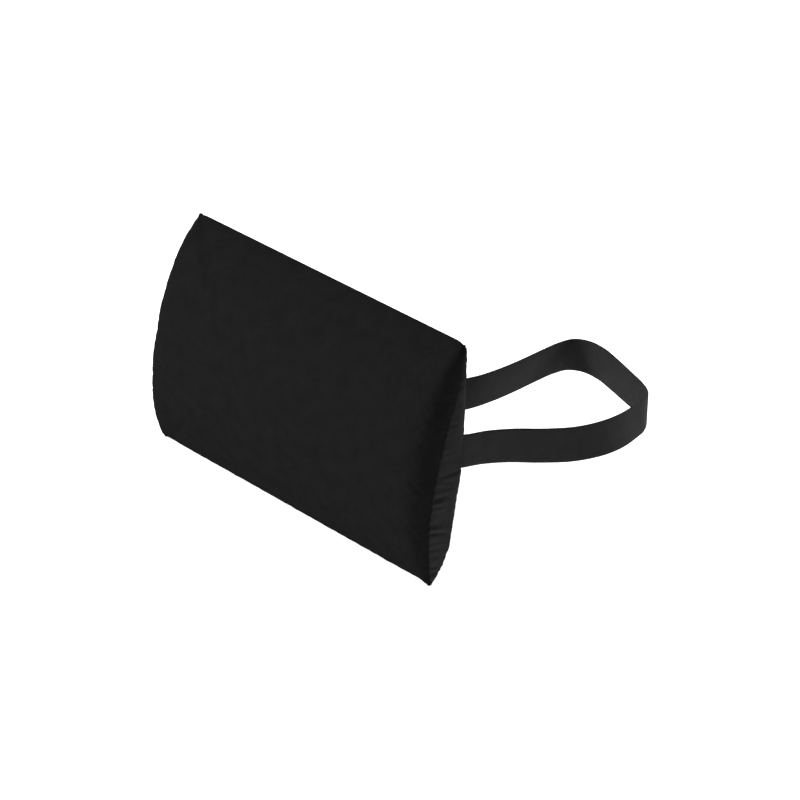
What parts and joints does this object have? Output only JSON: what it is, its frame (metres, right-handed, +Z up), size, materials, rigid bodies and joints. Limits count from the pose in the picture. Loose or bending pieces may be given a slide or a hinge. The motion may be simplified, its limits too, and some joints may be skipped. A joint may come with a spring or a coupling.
{
  "type": "lumbar support cushion",
  "caption": "Foam lumbar cushion with a crowned front, a zipped black fabric cover and an elastic strap that loops behind a chair back.",
  "frame": {"origin": "on the flat of the back, halfway between the two ends and halfway between the top and bottom seams", "axes": "+X along the cushion, +Y out of the back towards the chair, +Z up; the sitter leans on the -Y side"},
  "size_m": [0.4614, 0.379, 0.2798],
  "materials": {
    "cover_fabric": "matte",
    "strap_elastic": "matte",
    "foam": "matte",
    "zipper_tape": "matte",
    "zipper_coil": "satin",
    "zipper_metal": "satin"
  },
  "bodies": {
    "cushion": {"foam_core": "foam", "cover_front": "cover_fabric", "cover_back": "cover_fabric", "zipper_tape_upper": "zipper_tape", "zipper_tape_lower": "zipper_tape", "zipper_coil_upper": "zipper_coil", "zipper_coil_lower": "zipper_coil", "zipper_top_stop_upper": "zipper_metal", "zipper_top_stop_lower": "zipper_metal", "zipper_bottom_stop": "zipper_metal"},
    "slider": {"zipper_slider": "zipper_metal"},
    "pull": {"zipper_pull": "zipper_metal"},
    "strap": {"strap": "strap_elastic"}
  },
  "joints": [
    {"name": "slider_slide", "type": "slide", "parent": "cushion", "child": "slider", "axis": [-1, 0, 0], "range_m": [0, 0.3145]},
    {"name": "pull_turn", "type": "hinge", "parent": "slider", "child": "pull", "pos_m": [0.1573, 0.00275, -0.075], "axis": [0, 0, -1], "range_deg": [0, 180]},
    {"name": "strap_swing", "type": "hinge", "parent": "cushion", "child": "strap", "pos_m": [0, -0.006, 0.013], "axis": [1, 0, 0], "range_deg": [-30, 30]}
  ]
}
